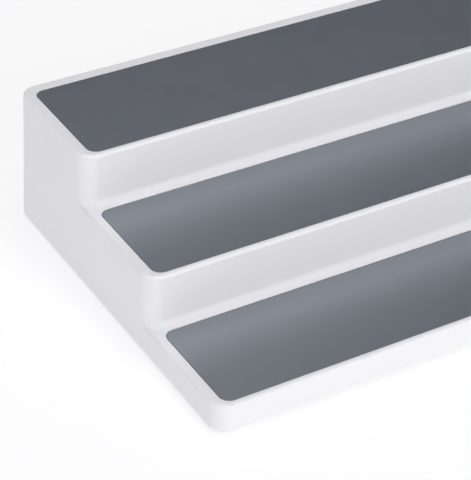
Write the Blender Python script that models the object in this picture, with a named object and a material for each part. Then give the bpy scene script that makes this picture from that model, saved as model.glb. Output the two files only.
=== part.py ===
"""Three-tier shelf riser: a hollow moulded shell with a grip mat in each tread and four rubber feet.

Units are metres and +Z is up. The origin is on the floor under the middle of the shell.
X runs along the treads and the lowest tread faces -Y.
"""

from math import cos, pi, radians, sin, tan

import bmesh
import bpy

# Driving sizes of the shell
LENGTH = 0.380
DEPTH = 0.225
TREAD_PITCH = 0.072
LIP_HEIGHT = 0.0168
RISE = 0.0319
TIERS = 3
WALL = 0.0022
DRAFT = tan(radians(0.7))
CORNER_RADIUS = 0.0097
EDGE_FILLET = 0.0018

# Clear space that the shell's lower edge keeps above the floor, and the raised stretch of that edge
FOOT_PROUD = 0.0010
RELIEF_HEIGHT = 0.0023
RELIEF_FROM_CORNER = 0.031
RELIEF_RUN = 0.005

# Grip mats and the pockets that hold them
FRONT_RIM = 0.0036
SIDE_RIM = 0.0063
BACK_RIM = 0.0074
FOOT_STRIP = 0.0048
MAT_THICKNESS = 0.0015
MAT_SINK = 0.0002
MAT_CORNER = 0.0057
GAP = 0.0003

# Stiffening ribs under the treads
RIB_COUNT = 2
RIB_THICKNESS = 0.0018
RIB_DEPTH = 0.008

# Posts inside the corners and the rubber feet that plug into them
POST_INSET = 0.016
POST_RADIUS = 0.0065
WEB_THICKNESS = 0.0018
PAD_RADIUS = 0.0062
PAD_THICKNESS = 0.0014
STEM_RADIUS = 0.0030
STEM_LENGTH = 0.0060

# Facets, and how far a cutter or a joined piece runs past the face that it crosses
CORNER_STEPS = 8
FILLET_STEPS = 3
RELIEF_STEPS = 6
ROUND_STEPS = 32
SMOOTH_ANGLE = radians(35)
OVERLAP = 0.001

# Values that follow from those above
SHELL_BOTTOM = FOOT_PROUD
POCKET_DEPTH = MAT_SINK + MAT_THICKNESS + GAP
FOOT_FILLET = FOOT_STRIP - 2 * GAP
POST_BOTTOM = PAD_THICKNESS + GAP
FRONT = -DEPTH / 2
BACK = DEPTH / 2
SIDE = LENGTH / 2

WHITE_PLASTIC = ("white_plastic", (0.80, 0.80, 0.82), 0.35)
GREY_RUBBER = ("grey_rubber", (0.085, 0.10, 0.11), 0.45)
FOOT_RUBBER = ("foot_rubber", (0.03, 0.03, 0.03), 0.7)


def tread_height(tier):
    """Height of a tread's rim above the floor."""
    return SHELL_BOTTOM + LIP_HEIGHT + tier * RISE


def riser_foot(tier):
    """Height at which a tier's front wall starts."""
    return tread_height(tier - 1) if tier else SHELL_BOTTOM


def front_at(tier, z):
    """Y of a tier's front wall, which leans back by the draft from its own foot."""
    return FRONT + tier * TREAD_PITCH + DRAFT * (z - riser_foot(tier))


def material(name, colour, roughness):
    made = bpy.data.materials.new(name)
    made.use_nodes = True
    shader = made.node_tree.nodes["Principled BSDF"]
    shader.inputs["Base Color"].default_value = (*colour, 1.0)
    shader.inputs["Roughness"].default_value = roughness
    shader.inputs["Metallic"].default_value = 0.0
    made.diffuse_color = (*colour, 1.0)
    return made


def new_object(name, mesh_data):
    made = bpy.data.objects.new(name, mesh_data)
    bpy.context.scene.collection.objects.link(made)
    return made


def finish_mesh(name, shape):
    bmesh.ops.recalc_face_normals(shape, faces=shape.faces)
    data = bpy.data.meshes.new(name)
    shape.to_mesh(data)
    shape.free()
    return new_object(name, data)


def rounded_outline(half_x, front, back, radius, steps=CORNER_STEPS):
    """Points of a rectangle with round corners, anticlockwise from the right end of the front edge."""
    points = []
    corners = (
        (half_x - radius, front + radius, -90),
        (half_x - radius, back - radius, 0),
        (-half_x + radius, back - radius, 90),
        (-half_x + radius, front + radius, 180),
    )
    for x, y, start in corners:
        for step in range(steps + 1):
            angle = radians(start + 90 * step / steps)
            points.append((x + radius * cos(angle), y + radius * sin(angle)))
    return points


def add_loft(shape, rings):
    """Adds a closed solid through rings of equal point count, each given as (outline, height)."""
    levels = []
    for outline, z in rings:
        levels.append([shape.verts.new((x, y, z)) for x, y in outline])
    for low, high in zip(levels, levels[1:]):
        for i in range(len(low)):
            j = (i + 1) % len(low)
            shape.faces.new((low[i], low[j], high[j], high[i]))
    shape.faces.new(levels[0][::-1])
    shape.faces.new(levels[-1])


def add_prism(shape, outline, axis_low, axis_high):
    """Adds a solid of a (y, z) outline that runs along X between two places."""
    ends = [[shape.verts.new((x, y, z)) for y, z in outline] for x in (axis_low, axis_high)]
    for i in range(len(outline)):
        j = (i + 1) % len(outline)
        shape.faces.new((ends[0][i], ends[0][j], ends[1][j], ends[1][i]))
    shape.faces.new(ends[0][::-1])
    shape.faces.new(ends[1])


def add_box(shape, low, high):
    made = bmesh.ops.create_cube(shape, size=1.0)
    for vert in made["verts"]:
        for axis in range(3):
            middle = (low[axis] + high[axis]) / 2
            vert.co[axis] = middle + vert.co[axis] * (high[axis] - low[axis])


def add_turned(shape, x, y, profile):
    """Adds a solid of revolution about a vertical line, from (radius, height) pairs going up."""
    rings = []
    for radius, z in profile:
        angles = [2 * pi * step / ROUND_STEPS for step in range(ROUND_STEPS)]
        rings.append(([(x + radius * cos(a), y + radius * sin(a)) for a in angles], z))
    add_loft(shape, rings)


def tier_solid(tier):
    """One tier as a block with round corners, a filleted top edge and a hollow curve at a riser's foot."""
    top = tread_height(tier)
    foot = riser_foot(tier)
    rings = []

    def ring(z, inset=0.0, slide=0.0):
        outline = rounded_outline(
            SIDE - inset, front_at(tier, z) + inset - slide, BACK - inset, CORNER_RADIUS - inset
        )
        rings.append((outline, z))

    if tier:
        ring(foot - (EDGE_FILLET + POCKET_DEPTH + WALL) / 2, slide=FOOT_FILLET)
        for step in range(FILLET_STEPS + 1):
            angle = radians(90 * step / FILLET_STEPS)
            ring(foot + FOOT_FILLET * (1 - cos(angle)), slide=FOOT_FILLET * (1 - sin(angle)))
    else:
        ring(foot)
    for step in range(FILLET_STEPS + 1):
        angle = radians(90 * step / FILLET_STEPS)
        ring(top - EDGE_FILLET * (1 - sin(angle)), inset=EDGE_FILLET * (1 - cos(angle)))
    shape = bmesh.new()
    add_loft(shape, rings)
    return finish_mesh(f"tier_{tier}_block", shape)


def ceiling(tier):
    """Height of the underside of a tread, below the pocket of its mat."""
    return tread_height(tier) - POCKET_DEPTH - WALL


def tier_cavity(tier):
    """The hollow inside one tier, a wall's thickness inside the block and open below."""
    rings = []
    for z in (SHELL_BOTTOM - OVERLAP, ceiling(tier)):
        outline = rounded_outline(
            SIDE - WALL, front_at(tier, z) + WALL, BACK - WALL, CORNER_RADIUS - WALL
        )
        rings.append((outline, z))
    shape = bmesh.new()
    add_loft(shape, rings)
    return finish_mesh(f"tier_{tier}_cavity", shape)


def mat_bounds(tier):
    """Half length, front and back of a mat: rims in front and beside, and the strip at the next riser's foot."""
    top = tread_height(tier)
    half = SIDE - SIDE_RIM
    front = front_at(tier, top) + FRONT_RIM
    if tier + 1 < TIERS:
        return half, front, front_at(tier + 1, top) - FOOT_STRIP
    return half, front, BACK - BACK_RIM


def mat_pockets():
    shape = bmesh.new()
    for tier in range(TIERS):
        half, front, back = mat_bounds(tier)
        outline = rounded_outline(half + GAP, front - GAP, back + GAP, MAT_CORNER + GAP)
        top = tread_height(tier)
        add_loft(shape, [(outline, top - POCKET_DEPTH), (outline, top + OVERLAP)])
    return finish_mesh("mat_pocket_cutter", shape)


def ribs():
    """Shallow webs across the shell that follow the stepped underside of the treads."""
    low = SHELL_BOTTOM + RELIEF_HEIGHT
    outer = [(front_at(0, low) + WALL / 2, low)]
    inner = [(front_at(0, low) + WALL + RIB_DEPTH, low)]
    for tier in range(TIERS):
        roof = ceiling(tier)
        outer.append((front_at(tier, roof) + WALL / 2, roof + WALL / 2))
        inner.append((front_at(tier, roof) + WALL + RIB_DEPTH, roof - RIB_DEPTH))
        if tier + 1 < TIERS:
            outer.append((front_at(tier + 1, roof) + WALL / 2, roof + WALL / 2))
            inner.append((front_at(tier + 1, roof) + WALL + RIB_DEPTH, roof - RIB_DEPTH))
    roof = ceiling(TIERS - 1)
    outer.append((BACK - WALL / 2, roof + WALL / 2))
    inner.append((BACK - WALL - RIB_DEPTH, roof - RIB_DEPTH))
    outer.append((BACK - WALL / 2, low))
    inner.append((BACK - WALL - RIB_DEPTH, low))
    shape = bmesh.new()
    bay = LENGTH / (RIB_COUNT + 1)
    for rib in range(RIB_COUNT):
        middle = -LENGTH / 2 + bay * (rib + 1)
        add_prism(shape, outer + inner[::-1], middle - RIB_THICKNESS / 2, middle + RIB_THICKNESS / 2)
    return finish_mesh("rib_webs", shape)


def post_places():
    """Name, tier above, and centre of each corner post."""
    x = LENGTH / 2 - POST_INSET
    return (
        ("front_left", 0, -x, FRONT + POST_INSET),
        ("front_right", 0, x, FRONT + POST_INSET),
        ("back_left", TIERS - 1, -x, BACK - POST_INSET),
        ("back_right", TIERS - 1, x, BACK - POST_INSET),
    )


def posts():
    """Tapered posts that hang from the treads and hold the feet."""
    shape = bmesh.new()
    for _, tier, x, y in post_places():
        top = ceiling(tier) + WALL / 2
        profile = [(POST_RADIUS, POST_BOTTOM), (POST_RADIUS + DRAFT * (top - POST_BOTTOM), top)]
        add_turned(shape, x, y, profile)
    return finish_mesh("corner_posts", shape)


def post_webs(along_x):
    """Webs that tie each post to the side wall, or to the front or back wall."""
    shape = bmesh.new()
    low = SHELL_BOTTOM + RELIEF_HEIGHT
    half = WEB_THICKNESS / 2
    for _, tier, x, y in post_places():
        top = ceiling(tier) + WALL / 2
        if along_x:
            wall = (SIDE - WALL / 2) * (1 if x > 0 else -1)
            add_box(shape, (min(x, wall), y - half, low), (max(x, wall), y + half, top))
        else:
            wall = front_at(0, top) + WALL / 2 if y < 0 else BACK - WALL / 2
            add_box(shape, (x - half, min(y, wall), low), (x + half, max(y, wall), top))
    return finish_mesh("side_webs" if along_x else "end_webs", shape)


def stem_bores():
    shape = bmesh.new()
    for _, _, x, y in post_places():
        radius = STEM_RADIUS + GAP
        top = POST_BOTTOM + STEM_LENGTH + GAP
        add_turned(shape, x, y, [(radius, POST_BOTTOM - OVERLAP), (radius, top)])
    return finish_mesh("stem_bore_cutter", shape)


def edge_reliefs():
    """Cuts that raise the lower edge of the front and back walls between the corners."""
    reach = LENGTH / 2 - RELIEF_FROM_CORNER
    right = []
    for step in range(RELIEF_STEPS + 1):
        share = step / RELIEF_STEPS
        lift = RELIEF_HEIGHT * (1 - cos(pi * share)) / 2
        right.append((reach - RELIEF_RUN * share, SHELL_BOTTOM + lift))
    outline = [(-reach, SHELL_BOTTOM - OVERLAP), (reach, SHELL_BOTTOM - OVERLAP)]
    outline += right
    outline += [(-x, z) for x, z in right[::-1]]
    shape = bmesh.new()
    for low, high in ((FRONT - OVERLAP, FRONT + 2 * WALL), (BACK - 2 * WALL, BACK + OVERLAP)):
        ends = [[shape.verts.new((x, y, z)) for x, z in outline] for y in (low, high)]
        for i in range(len(outline)):
            j = (i + 1) % len(outline)
            shape.faces.new((ends[0][i], ends[0][j], ends[1][j], ends[1][i]))
        shape.faces.new(ends[0][::-1])
        shape.faces.new(ends[1])
    return finish_mesh("edge_relief_cutter", shape)


def add_draft(shape_data):
    """Leans the side walls and the back wall inwards by the draft, and whatever lines up with them."""
    last_riser = FRONT + (TIERS - 1) * TREAD_PITCH
    for vert in shape_data.vertices:
        lean = DRAFT * (vert.co.z - SHELL_BOTTOM)
        vert.co.x *= 1 - lean / SIDE
        vert.co.y -= lean * max(0.0, (vert.co.y - last_riser) / (BACK - last_riser))


def combine(target, other, operation):
    """Adds or cuts one helper solid with an exact Boolean and hides the helper."""
    other.hide_render = True
    other.display_type = "WIRE"
    cut = target.modifiers.new(other.name, "BOOLEAN")
    cut.operation = operation
    cut.solver = "EXACT"
    cut.object = other


def complete(obj, finish):
    """Leans the piece with the walls and gives it its smooth shading and its material."""
    add_draft(obj.data)
    obj.data.materials.clear()
    obj.data.materials.append(material(*finish))
    obj.data.shade_smooth()
    obj.data.set_sharp_from_angle(angle=SMOOTH_ANGLE)


def build_shell():
    shell = tier_solid(0)
    shell.name = "riser_shell"
    for tier in range(1, TIERS):
        combine(shell, tier_solid(tier), "UNION")
    hollow = tier_cavity(0)
    for tier in range(1, TIERS):
        combine(hollow, tier_cavity(tier), "UNION")
    combine(shell, hollow, "DIFFERENCE")
    combine(shell, ribs(), "UNION")
    combine(shell, post_webs(True), "UNION")
    combine(shell, post_webs(False), "UNION")
    combine(shell, posts(), "UNION")
    combine(shell, stem_bores(), "DIFFERENCE")
    combine(shell, edge_reliefs(), "DIFFERENCE")
    combine(shell, mat_pockets(), "DIFFERENCE")
    shell.data = bpy.data.meshes.new_from_object(
        shell.evaluated_get(bpy.context.evaluated_depsgraph_get())
    )
    shell.modifiers.clear()
    complete(shell, WHITE_PLASTIC)


def build_mat(name, tier):
    half, front, back = mat_bounds(tier)
    top = tread_height(tier) - MAT_SINK
    outline = rounded_outline(half, front, back, MAT_CORNER)
    shape = bmesh.new()
    add_loft(shape, [(outline, top - MAT_THICKNESS), (outline, top)])
    complete(finish_mesh(name, shape), GREY_RUBBER)


def build_foot(name, x, y):
    """A rubber pad with a stem that plugs into its post."""
    profile = [
        (PAD_RADIUS, 0.0),
        (PAD_RADIUS, PAD_THICKNESS),
        (STEM_RADIUS, PAD_THICKNESS),
        (STEM_RADIUS, PAD_THICKNESS + STEM_LENGTH),
    ]
    shape = bmesh.new()
    add_turned(shape, x, y, profile)
    complete(finish_mesh(name, shape), FOOT_RUBBER)


def main():
    for obj in list(bpy.data.objects):
        bpy.data.objects.remove(obj)
    build_shell()
    for tier, name in enumerate(("lower_mat", "middle_mat", "top_mat")):
        build_mat(name, tier)
    for corner, _, x, y in post_places():
        build_foot(f"foot_{corner}", x, y)


main()
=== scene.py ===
# %% [markdown]
# # A three-step shelf riser
# The real thing is one thin-walled moulding in white polypropylene. It has three treads like a
# short flight of stairs, a grey grip mat lies flush in a pocket of each tread, and four rubber feet
# plug into posts inside the corners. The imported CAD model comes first, because it settles every
# size and place. The pieces below are finer versions of its solids, and they take their places from
# its boxes.

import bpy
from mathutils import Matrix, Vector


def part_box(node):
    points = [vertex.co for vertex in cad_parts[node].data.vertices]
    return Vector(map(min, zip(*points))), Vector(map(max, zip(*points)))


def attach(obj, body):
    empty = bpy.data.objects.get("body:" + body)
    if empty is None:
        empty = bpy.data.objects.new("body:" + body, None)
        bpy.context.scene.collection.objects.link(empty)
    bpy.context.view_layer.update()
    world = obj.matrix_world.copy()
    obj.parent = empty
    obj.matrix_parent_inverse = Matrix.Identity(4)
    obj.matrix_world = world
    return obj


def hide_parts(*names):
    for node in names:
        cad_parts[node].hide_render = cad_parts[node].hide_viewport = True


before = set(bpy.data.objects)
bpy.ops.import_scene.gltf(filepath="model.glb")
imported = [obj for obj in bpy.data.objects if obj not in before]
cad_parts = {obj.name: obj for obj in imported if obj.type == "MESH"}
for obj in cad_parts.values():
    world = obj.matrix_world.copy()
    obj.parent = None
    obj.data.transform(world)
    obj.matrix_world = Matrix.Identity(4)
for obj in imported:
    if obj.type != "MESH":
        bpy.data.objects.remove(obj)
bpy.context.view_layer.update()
print("packed nodes:", sorted(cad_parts))

# %% [markdown]
# ## Selecting by place
# Edit-mode tools act on whatever is selected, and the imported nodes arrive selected. So two small
# helpers come first. One makes a single object the selected and active one. The other selects
# faces, edges or vertices that pass a test on their place, as a person does by clicking on them.

# %% Helpers for selection
import bmesh
import bpy


def only(obj, mode="OBJECT"):
    """Deselects everything else and makes this the active object, in the mode asked for."""
    if bpy.context.object and bpy.context.mode != "OBJECT":
        bpy.ops.object.mode_set(mode="OBJECT")
    bpy.ops.object.select_all(action="DESELECT")
    obj.select_set(True)
    bpy.context.view_layer.objects.active = obj
    bpy.ops.object.mode_set(mode=mode)


def pick(obj, kind, test):
    """In edit mode, selects the VERT, EDGE or FACE items that pass the test, and counts them."""
    bpy.ops.mesh.select_mode(type=kind)
    bpy.ops.mesh.select_all(action="DESELECT")
    shape = bmesh.from_edit_mesh(obj.data)
    items = {"VERT": shape.verts, "EDGE": shape.edges, "FACE": shape.faces}[kind]
    chosen = [item for item in items if test(item)]
    for item in chosen:
        item.select_set(True)
    shape.select_flush_mode()
    bmesh.update_edit_mesh(obj.data)
    return len(chosen)


def level(item, z):
    """True if all corners of an edge or face are at this height, to a hundredth of a millimetre."""
    return all(abs(vert.co.z - z) < 1e-5 for vert in item.verts)


# %% [markdown]
# ## Sizes
# The rims' heights and the places of the risers are read off the mats' boxes, so that they follow
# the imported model. The rest are the moulding's own sizes: its wall, its draft, which lets it leave
# the mould, and the radii that the eye reads first. OVERLAP is how far one helper solid runs into
# another, so that a Boolean never meets two faces on one plane. All are in metres.

# %% Sizes of the moulding
from math import cos, pi, radians, sin, tan

WALL = 0.0022
DRAFT = tan(radians(0.7))
CORNER_RADIUS = 0.0097
EDGE_FILLET = 0.0018
FOOT_FILLET = 0.0042
LOWER_EDGE = 0.0016
FRONT_RIM = 0.0036
MAT_SINK = 0.0002
MAT_CORNER = 0.0057
GAP = 0.0003
OVERLAP = 0.001
TOUCH = 1e-5

shell_low, shell_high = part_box("riser_shell")
mat_boxes = [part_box(name) for name in ("lower_mat", "middle_mat", "top_mat")]
SIDE = shell_high.x
FRONT = shell_low.y
BACK = shell_high.y
BOTTOM = shell_low.z
RIMS = [high.z + MAT_SINK for low, high in mat_boxes]
FEET = [BOTTOM, RIMS[0], RIMS[1]]
RISERS = [
    low.y - FRONT_RIM - DRAFT * (rim - foot)
    for (low, high), rim, foot in zip(mat_boxes, RIMS, FEET)
]
MAT_THICKNESS = mat_boxes[0][1].z - mat_boxes[0][0].z
CEILINGS = [rim - MAT_SINK - MAT_THICKNESS - GAP - WALL for rim in RIMS]
print("rims at mm", [round(1000 * rim, 2) for rim in RIMS])
print("risers at mm", [round(1000 * y, 2) for y in RISERS])


def front_at(tier, z):
    """Y of a tier's front wall, which leans back by the draft."""
    return RISERS[tier] + DRAFT * (z - FEET[tier])


# %% [markdown]
# ## A block with round corners
# Each tier of the shell is a block with round corners. It could be drawn as an outline and pulled
# up, but a cube with its four upright edges bevelled gives the same shape with fewer steps, and the
# bevel is a true arc. The top of the front wall is first pushed back a hair, which is the mould's
# draft.

# %% Helper for blocks
from mathutils import Vector


def round_block(name, low, high, corner, lean=0.0, steps=16):
    """A cube at its size and place, its front wall leaning back, with its upright edges rounded."""
    low, high = Vector(low), Vector(high)
    bpy.ops.mesh.primitive_cube_add(size=1, location=(low + high) / 2, scale=high - low)
    block = bpy.context.object
    block.name = name
    bpy.ops.object.transform_apply(location=True, rotation=True, scale=True)
    only(block, "EDIT")
    pick(block, "VERT", lambda v: v.co.z > low.z + OVERLAP / 2 and v.co.y < (low.y + high.y) / 2)
    bpy.ops.transform.translate(value=(0, lean, 0))
    height = high.z - low.z
    pick(block, "EDGE", lambda e: abs(e.verts[0].co.z - e.verts[1].co.z) > height / 2)
    bpy.ops.mesh.bevel(offset=corner, segments=steps, affect="EDGES")
    return block


def snap_sides(block, reach):
    """Puts the side walls on one exact plane each, so that stacked blocks join without slivers."""
    for vert in block.data.vertices:
        if abs(abs(vert.co.x) - reach) < TOUCH / 10:
            vert.co.x = reach if vert.co.x > 0 else -reach


# %% [markdown]
# ## Outside of the three tiers
# Seen from outside, the moulding is three blocks, each behind and above the last. The top edge of
# each has a small round, and so has the lowest edge of all, because a moulding has no sharp rim.
# Where a riser meets the tread in front of it the real moulding has no corner but a soft hollow
# curve. The curve is made here by pulling the block's bottom face down in small steps while its
# front slides forward on a quarter circle, because a bevel of the finished inner edge would run out
# of room at the ends, where the tread narrows to nothing beside the round corner.

# %% Model the outside


def fillet_rim(block, z, radius, steps=8):
    """Rounds the edge all round the block's top or bottom face."""
    pick(block, "EDGE", lambda e: level(e, z))
    bpy.ops.mesh.bevel(offset=radius, segments=steps, affect="EDGES")


def flare_foot(block, tier, steps=10):
    """Pulls the bottom face down while its front slides forward, which leaves a hollow curve."""
    before = 0.0
    z = FEET[tier] + FOOT_FILLET
    for step in range(1, steps + 1):
        angle = radians(90 * step / steps)
        drop = FOOT_FILLET * (sin(angle) - sin(before))
        slide = FOOT_FILLET * (cos(before) - cos(angle))
        pick(block, "FACE", lambda f: level(f, z))
        bpy.ops.mesh.extrude_region_move(TRANSFORM_OT_translate={"value": (0, 0, -drop)})
        z -= drop
        reach = RISERS[tier] + CORNER_RADIUS + OVERLAP / 2
        pick(block, "VERT", lambda v: abs(v.co.z - z) < TOUCH and v.co.y < reach)
        bpy.ops.transform.translate(value=(0, -slide, 0))
        before = angle
    pick(block, "FACE", lambda f: level(f, z))
    sunk = (0, 0, -EDGE_FILLET - OVERLAP)
    bpy.ops.mesh.extrude_region_move(TRANSFORM_OT_translate={"value": sunk})


def tier_block(tier):
    """One tier as a solid block, with its rounds and the hollow curve at its foot."""
    start = BOTTOM if tier == 0 else FEET[tier] + FOOT_FILLET
    low = (-SIDE, front_at(tier, start), start)
    high = (SIDE, BACK, RIMS[tier])
    lean = DRAFT * (RIMS[tier] - start)
    block = round_block(f"tier_{tier}", low, high, CORNER_RADIUS, lean)
    fillet_rim(block, RIMS[tier], EDGE_FILLET)
    if tier:
        flare_foot(block, tier)
    else:
        fillet_rim(block, BOTTOM, LOWER_EDGE, steps=5)
    only(block)
    snap_sides(block, SIDE)
    print(block.name, "has", len(block.data.vertices), "vertices")
    return block


tiers = [tier_block(tier) for tier in range(3)]

# %% [markdown]
# ## Joining and hollowing
# The blocks are joined with Boolean modifiers, and a smaller flight of blocks is cut out of the
# inside, which leaves the 2.2 mm wall. Solidify could make the wall too, but it would also thin the
# treads, and these are thicker on the real moulding because the mats are let into them.

# %% Join the blocks and cut the hollow


def combine(target, other, operation):
    """Adds or cuts one solid with an exact Boolean, applies it, and removes the helper."""
    only(target)
    cut = target.modifiers.new(other.name, "BOOLEAN")
    cut.operation = operation
    cut.solver = "EXACT"
    cut.object = other
    bpy.ops.object.modifier_apply(modifier=cut.name)
    bpy.data.objects.remove(other)


def volume(obj):
    """The volume that a closed mesh holds, in cubic metres."""
    shape = bmesh.new()
    shape.from_mesh(obj.data)
    held = shape.calc_volume(signed=True)
    shape.free()
    return held


def hollow_block(tier):
    """The space inside one tier, smaller than the tier by the wall."""
    start = BOTTOM - OVERLAP
    low = (-SIDE + WALL, front_at(tier, start) + WALL, start)
    high = (SIDE - WALL, BACK - WALL, CEILINGS[tier])
    lean = DRAFT * (CEILINGS[tier] - start)
    block = round_block(f"hollow_{tier}", low, high, CORNER_RADIUS - WALL, lean)
    only(block)
    snap_sides(block, SIDE - WALL)
    return block


shell = tiers[0]
shell.name = "moulded_shell"
combine(shell, tiers[1], "UNION")
combine(shell, tiers[2], "UNION")
for tier in range(3):
    combine(shell, hollow_block(tier), "DIFFERENCE")
print("shell holds", round(1e6 * volume(shell)), "cubic centimetres of plastic")

# %% [markdown]
# ## Ribs under the treads
# Two shallow webs cross the hollow and follow its steps, so that a loaded tread doesn't sag. A web
# could be a plate with the steps cut out of it, but a traced outline is one solid from the start,
# and it reads like the web's own side view. It is traced as by hand: one vertex is extruded from
# point to point, the loop is filled, and the face is extruded sideways.

# %% Model the ribs
RIB_THICKNESS = 0.0018
RIB_DEPTH = 0.008
RELIEF_HEIGHT = 0.0023


def traced_solid(name, points, depth):
    """Traces an outline by extruding one vertex, fills it, and extrudes the face by depth."""
    points = [Vector(point) for point in points]
    bpy.ops.mesh.primitive_plane_add(size=OVERLAP, location=points[0])
    solid = bpy.context.object
    solid.name = name
    bpy.ops.object.transform_apply(location=True, rotation=True, scale=True)
    only(solid, "EDIT")
    bpy.ops.mesh.select_mode(type="VERT")
    bpy.ops.mesh.select_all(action="SELECT")
    bpy.ops.mesh.merge(type="CENTER")
    for here, there in zip(points, points[1:]):
        bpy.ops.mesh.extrude_region_move(TRANSFORM_OT_translate={"value": there - here})
    bpy.ops.mesh.select_all(action="SELECT")
    bpy.ops.mesh.edge_face_add()
    bpy.ops.mesh.extrude_region_move(TRANSFORM_OT_translate={"value": depth})
    bpy.ops.mesh.select_all(action="SELECT")
    bpy.ops.mesh.normals_make_consistent(inside=False)
    only(solid)
    return solid


def rib_outline(x):
    """The stepped band that a rib fills, from the front wall's foot to the back wall's."""
    low = BOTTOM + RELIEF_HEIGHT
    outer = [(x, front_at(0, low) + WALL / 2, low)]
    inner = [(x, front_at(0, low) + WALL + RIB_DEPTH, low)]
    for tier in range(3):
        roof = CEILINGS[tier]
        for wall in (tier, tier + 1):
            if wall < 3:
                y = front_at(wall, roof)
                outer.append((x, y + WALL / 2, roof + WALL / 2))
                inner.append((x, y + WALL + RIB_DEPTH, roof - RIB_DEPTH))
    roof = CEILINGS[2]
    outer += [(x, BACK - WALL / 2, roof + WALL / 2), (x, BACK - WALL / 2, low)]
    inner += [(x, BACK - WALL - RIB_DEPTH, roof - RIB_DEPTH), (x, BACK - WALL - RIB_DEPTH, low)]
    return outer + inner[::-1]


for x in (-SIDE / 3, SIDE / 3):
    rib = traced_solid("rib", rib_outline(x - RIB_THICKNESS / 2), (RIB_THICKNESS, 0, 0))
    combine(shell, rib, "UNION")
print("shell and ribs hold", round(1e6 * volume(shell)), "cubic centimetres")

# %% [markdown]
# ## Posts for the feet
# A post hangs from the tread in each corner and holds the stem of a rubber foot, and two thin webs
# tie it to the walls. It could be spun from a profile, but a cylinder whose top ring is scaled up a
# little, for draft, is the same shape in one step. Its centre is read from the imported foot, so that
# foot and bore share one axis.

# %% Model the posts
POST_RADIUS = 0.0065
WEB = 0.0018
FOOT_NAMES = ("foot_front_left", "foot_front_right", "foot_back_left", "foot_back_right")
foot_boxes = {name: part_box(name) for name in FOOT_NAMES}
PAD_THICKNESS = 0.0014
STEM_RADIUS = 0.0030


def turned_solid(name, x, y, low, high, radius, top_radius):
    """A cylinder at its size and place, with its top ring scaled to its own radius."""
    middle = (x, y, (low + high) / 2)
    bpy.ops.mesh.primitive_cylinder_add(
        vertices=48, radius=radius, depth=high - low, location=middle
    )
    solid = bpy.context.object
    solid.name = name
    bpy.ops.object.transform_apply(location=True, rotation=True, scale=True)
    only(solid, "EDIT")
    pick(solid, "FACE", lambda f: level(f, high))
    share = top_radius / radius
    bpy.ops.transform.resize(value=(share, share, 1), center_override=(x, y, high))
    only(solid)
    return solid


def web_block(name, low, high):
    """A thin upright web, its edges just broken."""
    return round_block(name, low, high, WEB / 20, steps=1)


for name, (low, high) in foot_boxes.items():
    x, y = (low.x + high.x) / 2, (low.y + high.y) / 2
    roof = (CEILINGS[0] if y < 0 else CEILINGS[2]) + WALL / 2
    bottom = low.z + PAD_THICKNESS + GAP
    wide = POST_RADIUS + DRAFT * (roof - bottom)
    low_web = BOTTOM + RELIEF_HEIGHT
    wall_x = (SIDE - WALL / 2) * (1 if x > 0 else -1)
    wall_y = front_at(0, roof) + WALL / 2 if y < 0 else BACK - WALL / 2
    side_low = (min(x, wall_x), y - WEB / 2, low_web)
    side_high = (max(x, wall_x), y + WEB / 2, roof)
    end_low = (x - WEB / 2, min(y, wall_y), low_web)
    end_high = (x + WEB / 2, max(y, wall_y), roof)
    combine(shell, web_block("side_web", side_low, side_high), "UNION")
    combine(shell, web_block("end_web", end_low, end_high), "UNION")
    combine(shell, turned_solid("post", x, y, bottom, roof, POST_RADIUS, wide), "UNION")
    bore = STEM_RADIUS + GAP
    bore_solid = turned_solid("bore", x, y, bottom - OVERLAP, high.z + GAP, bore, bore)
    combine(shell, bore_solid, "DIFFERENCE")
    print("post for", name, "at mm", round(1000 * x, 1), round(1000 * y, 1))

# %% [markdown]
# ## Draft on the sides and the back
# A moulding leaves its mould only if its walls lean. The fronts lean already. The sides and the
# back are leaned now, all at once, with a Lattice: a cage of eight points round the shell, whose
# upper points move inwards. Each block could have been leaned before it was joined, but the joins
# are simpler while all of the side walls are on one plane.

# %% Lean the walls with a cage
lean = DRAFT * (RIMS[2] - BOTTOM)
cage_low = Vector((-SIDE, RISERS[2], BOTTOM))
cage_high = Vector((SIDE, BACK, RIMS[2]))
cage_size = cage_high - cage_low
bpy.ops.object.add(type="LATTICE", location=(cage_low + cage_high) / 2)
cage = bpy.context.object
cage.scale = cage_size
cage.data.points_u = 2
cage.data.points_v = 2
cage.data.points_w = 2
cage.data.interpolation_type_u = "KEY_LINEAR"
cage.data.interpolation_type_v = "KEY_LINEAR"
cage.data.interpolation_type_w = "KEY_LINEAR"
for point in cage.data.points:
    if point.co.z > 0:
        moved = point.co_deform.copy()
        moved.x -= lean / cage_size.x * (1 if point.co.x > 0 else -1)
        moved.y -= lean / cage_size.y * (point.co.y > 0)
        point.co_deform = moved
bpy.context.view_layer.update()
only(shell)
leaning = shell.modifiers.new("draft", "LATTICE")
leaning.object = cage
bpy.ops.object.modifier_apply(modifier=leaning.name)
bpy.data.objects.remove(cage)
print("the walls lean", round(1000 * lean, 2), "mm over their height")

# %% [markdown]
# ## Pockets for the mats
# A shallow pocket in each tread takes a mat. It could be an inset of the tread's top face, pushed
# down, but a Boolean gives it round corners of its own and follows the mat's box exactly. Its upper
# edge is softened with a very small bevel, which a real mould always has, and which catches a thin
# line of light.

# %% Cut the pockets
POCKET_EDGE = 0.00022

for low, high in mat_boxes:
    pocket_low = (low.x - GAP, low.y - GAP, low.z - GAP)
    pocket_high = (high.x + GAP, high.y + GAP, high.z + OVERLAP)
    pocket = round_block("pocket", pocket_low, pocket_high, MAT_CORNER + GAP, steps=12)
    only(pocket)
    combine(shell, pocket, "DIFFERENCE")


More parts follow.
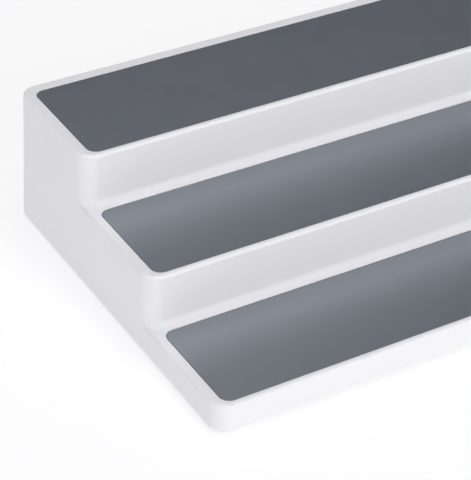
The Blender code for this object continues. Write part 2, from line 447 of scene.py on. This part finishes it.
def on_pocket_edge(edge, low, high, rim):
    """True for the sharp edge where a pocket's wall meets its tread."""
    if not level(edge, rim) or len(edge.link_faces) != 2 or edge.calc_face_angle() < radians(60):
        return False
    reach = GAP + 10 * TOUCH
    return all(
        low.x - reach < v.co.x < high.x + reach and low.y - reach < v.co.y < high.y + reach
        for v in edge.verts
    )


def close_seams(obj):
    """Merges corners that a Boolean left on top of each other, and stays in edit mode."""
    only(obj, "EDIT")
    bpy.ops.mesh.select_all(action="SELECT")
    bpy.ops.mesh.remove_doubles(threshold=2e-6)


close_seams(shell)
for (low, high), rim in zip(mat_boxes, RIMS):
    count = pick(shell, "EDGE", lambda e: on_pocket_edge(e, low, high, rim))
    bpy.ops.mesh.bevel(offset=POCKET_EDGE, segments=2, affect="EDGES", clamp_overlap=False)
    print("softened", count, "edges at mm", round(1000 * rim, 2))
only(shell)

# %% [markdown]
# ## The raised lower edge
# The lower edge of the front and back is raised a little between the corners, so that the shell
# bears on its feet and not on a long edge. The rise could be made by moving the edge's own
# vertices, but the long walls have too few of them. So the shape of the gap is traced and cut out.

# %% Raise the lower edge
RELIEF_FROM_CORNER = 0.031
RELIEF_RUN = 0.005
reach = SIDE - RELIEF_FROM_CORNER


def relief_outline(y, steps=12):
    """Half-waves at both ends, so that the edge rises and falls without a corner."""
    right = []
    for step in range(steps + 1):
        share = step / steps
        lift = RELIEF_HEIGHT * (1 - cos(pi * share)) / 2
        right.append((reach - RELIEF_RUN * share, y, BOTTOM + lift))
    left = [(-x, y, z) for x, y, z in right[::-1]]
    return [(reach, y, BOTTOM - OVERLAP)] + right + left + [(-reach, y, BOTTOM - OVERLAP)]


for y in (FRONT - OVERLAP, BACK - 2 * WALL):
    relief = traced_solid("relief", relief_outline(y), (0, 2 * WALL + OVERLAP, 0))
    combine(shell, relief, "DIFFERENCE")
print("shell now holds", round(1e6 * volume(shell)), "cubic centimetres")

# %% [markdown]
# ## Smooth shading that keeps flats flat
# Shading by angle blends faces that meet at less than 14 degrees, so the rounds look round. A
# Weighted Normal modifier then lets the large faces win where they meet a round, so the flats still
# look flat. The finished piece rides on the imported body and stands for the imported solid.

# %% Finish the shell


def finish_piece(piece, node, angle=14):
    """Smooth shading with flat flats, then the piece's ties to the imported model."""
    only(piece)
    bpy.ops.object.shade_smooth_by_angle(angle=radians(angle))
    weighted = piece.modifiers.new("flat flats", "WEIGHTED_NORMAL")
    weighted.keep_sharp = True
    weighted.weight = 100
    bpy.ops.object.modifier_apply(modifier=weighted.name)
    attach(piece, "root")
    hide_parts(node)


close_seams(shell)
only(shell)
finish_piece(shell, "riser_shell")
print("finished", shell.name, "with", len(shell.data.polygons), "faces")

# %% [markdown]
# ## Grip mats
# Each mat is a thin sheet of soft thermoplastic rubber, cut or moulded with round corners and
# bonded into its pocket. A sheet could be a flat face given a thickness by Solidify, but the block
# helper already makes it with its corners rounded. Its upper edge gets a small round, because a
# soft sheet never ends in a knife edge.

# %% Model the mats
RUBBER_EDGE = 0.0003

mats = []
for name in ("lower_mat", "middle_mat", "top_mat"):
    low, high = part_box(name)
    mat = round_block(f"{name}_sheet", low, high, MAT_CORNER, steps=12)
    pick(mat, "EDGE", lambda e: level(e, high.z))
    bpy.ops.mesh.bevel(offset=RUBBER_EDGE, segments=3, affect="EDGES")
    finish_piece(mat, name, angle=40)
    mats.append(mat)
    print(name, "is mm", [round(1000 * side, 1) for side in high - low])

# %% [markdown]
# ## Rubber feet
# A foot is a round pad with a stem that plugs into its post. Two joined cylinders would look the
# same, but one cylinder whose top face is inset to the stem's radius and pulled up needs no
# Boolean. The pad's rims and the stem's end are then rounded. All four feet are copies of this one,
# each moved to its own corner.

# %% Model one foot and copy it


def on_circle(edge, x, y, z, radius):
    """True if both ends of an edge lie on one level circle."""
    centre = Vector((x, y, z))
    return level(edge, z) and all(
        abs((vert.co - centre).length - radius) < TOUCH for vert in edge.verts
    )


def first_foot(low, high):
    """The pad and its stem, with the pad's two rims and the stem's end rounded."""
    x, y = (low.x + high.x) / 2, (low.y + high.y) / 2
    pad = (high.x - low.x) / 2
    foot = turned_solid("rubber_foot", x, y, low.z, low.z + PAD_THICKNESS, pad, pad)
    only(foot, "EDIT")
    pick(foot, "FACE", lambda f: level(f, low.z + PAD_THICKNESS))
    bpy.ops.mesh.inset(thickness=pad - STEM_RADIUS)
    stem = high.z - low.z - PAD_THICKNESS
    bpy.ops.mesh.extrude_region_move(TRANSFORM_OT_translate={"value": (0, 0, stem)})
    rims = ((low.z, pad), (low.z + PAD_THICKNESS, pad), (high.z, STEM_RADIUS))
    pick(foot, "EDGE", lambda e: any(on_circle(e, x, y, z, radius) for z, radius in rims))
    bpy.ops.mesh.bevel(offset=RUBBER_EDGE, segments=3, affect="EDGES")
    only(foot)
    return foot


start_low, start_high = foot_boxes[FOOT_NAMES[0]]
model = first_foot(start_low, start_high)
feet = []
for name in FOOT_NAMES:
    only(model)
    bpy.ops.object.duplicate(linked=False)
    foot = bpy.context.object
    foot.name = f"{name}_rubber"
    bpy.ops.transform.translate(value=foot_boxes[name][0] - start_low)
    bpy.ops.object.transform_apply(location=True, rotation=True, scale=True)
    finish_piece(foot, name, angle=40)
    feet.append(foot)
bpy.data.objects.remove(model)
print("made", len(feet), "feet of", len(feet[0].data.polygons), "faces")

# %% [markdown]
# ## Materials: two small helpers
# Colours are picked on a screen as sRGB hex values, but a renderer works in linear light, so one
# function converts them. Another adds a shader node, sets its values and joins its inputs. Values
# that are the same all over a surface are set on the shader itself, where they survive an export.
# MM lets a pattern's scale be written from its real size in millimetres.

# %% Helpers for materials


def linear(hex_colour):
    """An sRGB hex colour as linear red, green, blue and alpha."""
    made = []
    for start in (0, 2, 4):
        share = int(hex_colour[start : start + 2], 16) / 255
        made.append(share / 12.92 if share <= 0.04045 else ((share + 0.055) / 1.055) ** 2.4)
    return (*made, 1.0)


def add_node(tree, kind, values=None, links=None, **settings):
    """Adds a shader node, sets its properties and socket values, and links its inputs."""
    made = tree.nodes.new(kind)
    for name, value in settings.items():
        setattr(made, name, value)
    for name, value in (values or {}).items():
        made.inputs[name].default_value = value
    for name, source in (links or {}).items():
        tree.links.new(source, made.inputs[name])
    return made


def new_finish(name, colour, roughness, ior, specular=0.5):
    """A material with its Principled shader's constants set on the shader itself."""
    finish = bpy.data.materials.new(name)
    finish.use_nodes = True
    shader = finish.node_tree.nodes["Principled BSDF"]
    shader.inputs["Base Color"].default_value = linear(colour)
    shader.inputs["Roughness"].default_value = roughness
    shader.inputs["IOR"].default_value = ior
    shader.inputs["Specular IOR Level"].default_value = specular
    finish.diffuse_color = linear(colour)
    return finish, finish.node_tree, shader


def coat(objects, finish):
    """Gives each object this finish and no other."""
    for obj in objects:
        obj.data.materials.clear()
        obj.data.materials.append(finish)


MM = 0.001

# %% [markdown]
# ## White polypropylene, injection moulded
# The shell is polypropylene filled with white pigment. Its mould was spark-eroded to a fine satin,
# so the eye sees a soft, faintly cool white with broad, blurred highlights. The grain is about 0.3
# mm, too fine to show, so it is drawn at 0.9 mm. Slow drifts in shade and gloss, 45 mm wide, are
# where the melt cooled unevenly.

# %% Finish of the shell
white, tree, shader = new_finish("injection_moulded_white_polypropylene", "E9E8EB", 0.42, 1.49)
place = add_node(tree, "ShaderNodeTexCoord").outputs["Object"]
flow = add_node(
    tree, "ShaderNodeTexNoise", {"Scale": 1 / (45 * MM), "Detail": 2.0}, {"Vector": place}
)
shade = add_node(
    tree,
    "ShaderNodeMix",
    {6: linear("E8E7EA"), 7: linear("EAE9EC")},
    {0: flow.outputs[0]},
    data_type="RGBA",
)
gloss = add_node(
    tree,
    "ShaderNodeMapRange",
    {"To Min": 0.38, "To Max": 0.46},
    {"Value": flow.outputs[0]},
)
grain = add_node(
    tree, "ShaderNodeTexNoise", {"Scale": 1 / (0.9 * MM), "Detail": 3.0}, {"Vector": place}
)
relief = add_node(
    tree,
    "ShaderNodeBump",
    {"Strength": 0.10, "Distance": 0.05 * MM},
    {"Height": grain.outputs[0]},
)
tree.links.new(shade.outputs[2], shader.inputs["Base Color"])
tree.links.new(gloss.outputs[0], shader.inputs["Roughness"])
tree.links.new(relief.outputs[0], shader.inputs["Normal"])
coat([shell], white)
print("finish:", white.name)

# %% [markdown]
# ## Grey thermoplastic rubber, moulded with a satin grain
# The mats are a soft thermoplastic rubber, dark blue-grey. Their mould is finely pebbled, so the
# surface is satin: it mirrors the white riser behind it as a wide, blurred glow that fades towards
# the front. Plain rubber has an IOR near 1.5, but that glow is stronger than such a surface gives,
# so the IOR and the specular level are raised to match it, and the specular tint is faintly blue.
# The pebbles are about 0.4 mm across and are drawn at 0.8 mm. A little mottling, 12 mm wide, keeps
# the sheet from looking like paint.

# %% Finish of the mats
grey, tree, shader = new_finish("satin_thermoplastic_rubber", "2B333C", 0.46, 2.3, specular=1.0)
shader.inputs["Specular Tint"].default_value = linear("F1F7FF")
place = add_node(tree, "ShaderNodeTexCoord").outputs["Object"]
mottle = add_node(
    tree, "ShaderNodeTexNoise", {"Scale": 1 / (12 * MM), "Detail": 3.0}, {"Vector": place}
)
shade = add_node(
    tree,
    "ShaderNodeMix",
    {6: linear("29313A"), 7: linear("2D353E")},
    {0: mottle.outputs[0]},
    data_type="RGBA",
)
gloss = add_node(
    tree,
    "ShaderNodeMapRange",
    {"To Min": 0.43, "To Max": 0.49},
    {"Value": mottle.outputs[0]},
)
pebbles = add_node(
    tree, "ShaderNodeTexVoronoi", {"Scale": 1 / (0.8 * MM)}, {"Vector": place}, feature="SMOOTH_F1"
)
relief = add_node(
    tree,
    "ShaderNodeBump",
    {"Strength": 0.12, "Distance": 0.04 * MM},
    {"Height": pebbles.outputs["Distance"]},
    invert=True,
)
tree.links.new(shade.outputs[2], shader.inputs["Base Color"])
tree.links.new(gloss.outputs[0], shader.inputs["Roughness"])
tree.links.new(relief.outputs[0], shader.inputs["Normal"])
coat(mats, grey)
print("finish:", grey.name)

# %% [markdown]
# ## Dark rubber, matt from the mould
# The feet are a firm dark rubber. It is dull, with faint cloudy marks, 3 mm wide, where it was
# released from the mould. Its grain is about 0.2 mm and is drawn at 0.5 mm.

# %% Finish of the feet
rubber, tree, shader = new_finish("matt_moulded_rubber", "2B2B2D", 0.75, 1.52)
place = add_node(tree, "ShaderNodeTexCoord").outputs["Object"]
cloud = add_node(
    tree, "ShaderNodeTexNoise", {"Scale": 1 / (3 * MM), "Detail": 4.0}, {"Vector": place}
)
shade = add_node(
    tree,
    "ShaderNodeMix",
    {6: linear("262628"), 7: linear("303033")},
    {0: cloud.outputs[0]},
    data_type="RGBA",
)
grain = add_node(
    tree, "ShaderNodeTexNoise", {"Scale": 1 / (0.5 * MM), "Detail": 2.0}, {"Vector": place}
)
relief = add_node(
    tree,
    "ShaderNodeBump",
    {"Strength": 0.2, "Distance": 0.04 * MM},
    {"Height": grain.outputs[0]},
)
tree.links.new(shade.outputs[2], shader.inputs["Base Color"])
tree.links.new(relief.outputs[0], shader.inputs["Normal"])
coat(feet, rubber)
print("finish:", rubber.name)

# %% [markdown]
# ## Floor
# The riser stands on a light table: a very large sheet of opal acrylic, lit from below, which
# leaves only a faint shadow. A plain white sheet could serve, but white paper under soft light
# still looks grey. Part of its light is its own glow, set on the shader, and the rest is what falls
# on it. No view from the side finds its edge, and it isn't part of the object. Acrylic has no
# grain, so its 2 mm frosting is barely there.

# %% Lay the floor
FLOOR_SIZE = 30.0
TABLE_GLOW = 0.63

bpy.ops.mesh.primitive_plane_add(size=FLOOR_SIZE, location=(0, 0, 0))
floor = bpy.context.object
floor.name = "studio_floor"
only(floor, "EDIT")
bpy.ops.mesh.subdivide(number_cuts=3)
only(floor)
opal, tree, shader = new_finish("opal_acrylic_light_table", "AAAAAC", 0.9, 1.49, specular=0.1)
shader.inputs["Emission Color"].default_value = (1.0, 1.0, 1.0, 1.0)
shader.inputs["Emission Strength"].default_value = TABLE_GLOW
place = add_node(tree, "ShaderNodeTexCoord").outputs["Object"]
frosting = add_node(
    tree, "ShaderNodeTexNoise", {"Scale": 1 / (2 * MM), "Detail": 2.0}, {"Vector": place}
)
relief = add_node(
    tree,
    "ShaderNodeBump",
    {"Strength": 0.05, "Distance": 0.05 * MM},
    {"Height": frosting.outputs[0]},
)
tree.links.new(relief.outputs[0], shader.inputs["Normal"])
coat([floor], opal)
print("floor:", opal.name)

# %% [markdown]
# ## Soft boxes
# Plain soft studio light from five large soft boxes. The front one is low, so the risers and the
# front lip are as bright as the treads' rims. The left one lights the end, and the one at the right
# front evens out the length. The two above fill the treads, and the rear one stands behind the
# risers, so it leaves the hollow curve at each riser's foot in a soft shade instead of drawing a
# bright line along it.

# %% Hang the soft boxes
BOX_SIZE = 1.6
AIM = Vector((0, 0, 0.04))


def soft_box(name, place, power):
    """A square area light that faces the middle of the shell."""
    facing = (AIM - Vector(place)).to_track_quat("-Z", "Y").to_euler()
    bpy.ops.object.light_add(type="AREA", location=place, rotation=facing)
    light = bpy.context.object
    light.name = name
    light.data.shape = "SQUARE"
    light.data.size = BOX_SIZE
    light.data.energy = power
    print(name, power, "W")


soft_box("front_box", (0.0, -2.2, 0.7), 19.5)
soft_box("right_front_box", (1.6, -1.6, 1.1), 11.0)
soft_box("left_box", (-2.2, -0.3, 1.0), 11.0)
soft_box("top_box", (0.0, -0.3, 2.4), 14.5)
soft_box("rear_top_box", (0.0, 0.5, 2.4), 20.0)

# %% [markdown]
# ## Surround
# The room around the lights is a dim grey, darker behind, so the top mat mirrors little and stays
# dark while the lower mats mirror the risers. Near the horizon the surround turns pale, so that a
# view from the side has a pale background. One ramp goes from front to back, and the other up from
# the horizon.

# %% Paint the surround
world = bpy.context.scene.world or bpy.data.worlds.new("studio")
bpy.context.scene.world = world
world.use_nodes = True
tree = world.node_tree
surround = tree.nodes["Background"]
surround.inputs["Strength"].default_value = 1.0
place = add_node(tree, "ShaderNodeTexCoord").outputs["Generated"]
parts = add_node(tree, "ShaderNodeSeparateXYZ", links={"Vector": place})
above = add_node(
    tree,
    "ShaderNodeMapRange",
    {"From Min": 0.1, "From Max": 0.45},
    {"Value": parts.outputs["Z"]},
    interpolation_type="SMOOTHSTEP",
)
behind = add_node(
    tree,
    "ShaderNodeMapRange",
    {"From Min": -0.35, "From Max": 0.35},
    {"Value": parts.outputs["Y"]},
    interpolation_type="SMOOTHSTEP",
)
room = add_node(
    tree,
    "ShaderNodeMix",
    {6: linear("595A5C"), 7: linear("2C2C2E")},
    {0: behind.outputs[0]},
    data_type="RGBA",
)
sky = add_node(
    tree,
    "ShaderNodeMix",
    {6: linear("DADADC")},
    {0: above.outputs[0], 7: room.outputs[2]},
    data_type="RGBA",
)
tree.links.new(sky.outputs[2], surround.inputs["Color"])
bpy.context.scene.view_settings.view_transform = "Standard"
print("surround:", len(tree.nodes), "nodes")

# %% [markdown]
# ## Camera
# The view is from the left front corner, about 36 degrees down, and its frame ends before the shell
# does on the right. The camera is turned about Z, then tipped, then rolled about its own axis.

# %% Place the camera
from mathutils import Matrix

PLACE = (-0.59883, -0.76181, 0.67507)
YAW = 0.5680
TIP = 0.6239
ROLL = 0.0500
bpy.ops.object.camera_add()
camera = bpy.context.object
camera.matrix_world = (
    Matrix.Translation(PLACE)
    @ Matrix.Rotation(-YAW, 4, "Z")
    @ Matrix.Rotation(pi / 2 - TIP, 4, "X")
    @ Matrix.Rotation(ROLL, 4, "Z")
)
camera.data.lens = 152.7
camera.data.sensor_width = 36.0
camera.data.clip_start = 0.01
camera.data.clip_end = 100.0
bpy.context.scene.camera = camera
print("camera stands at", PLACE)
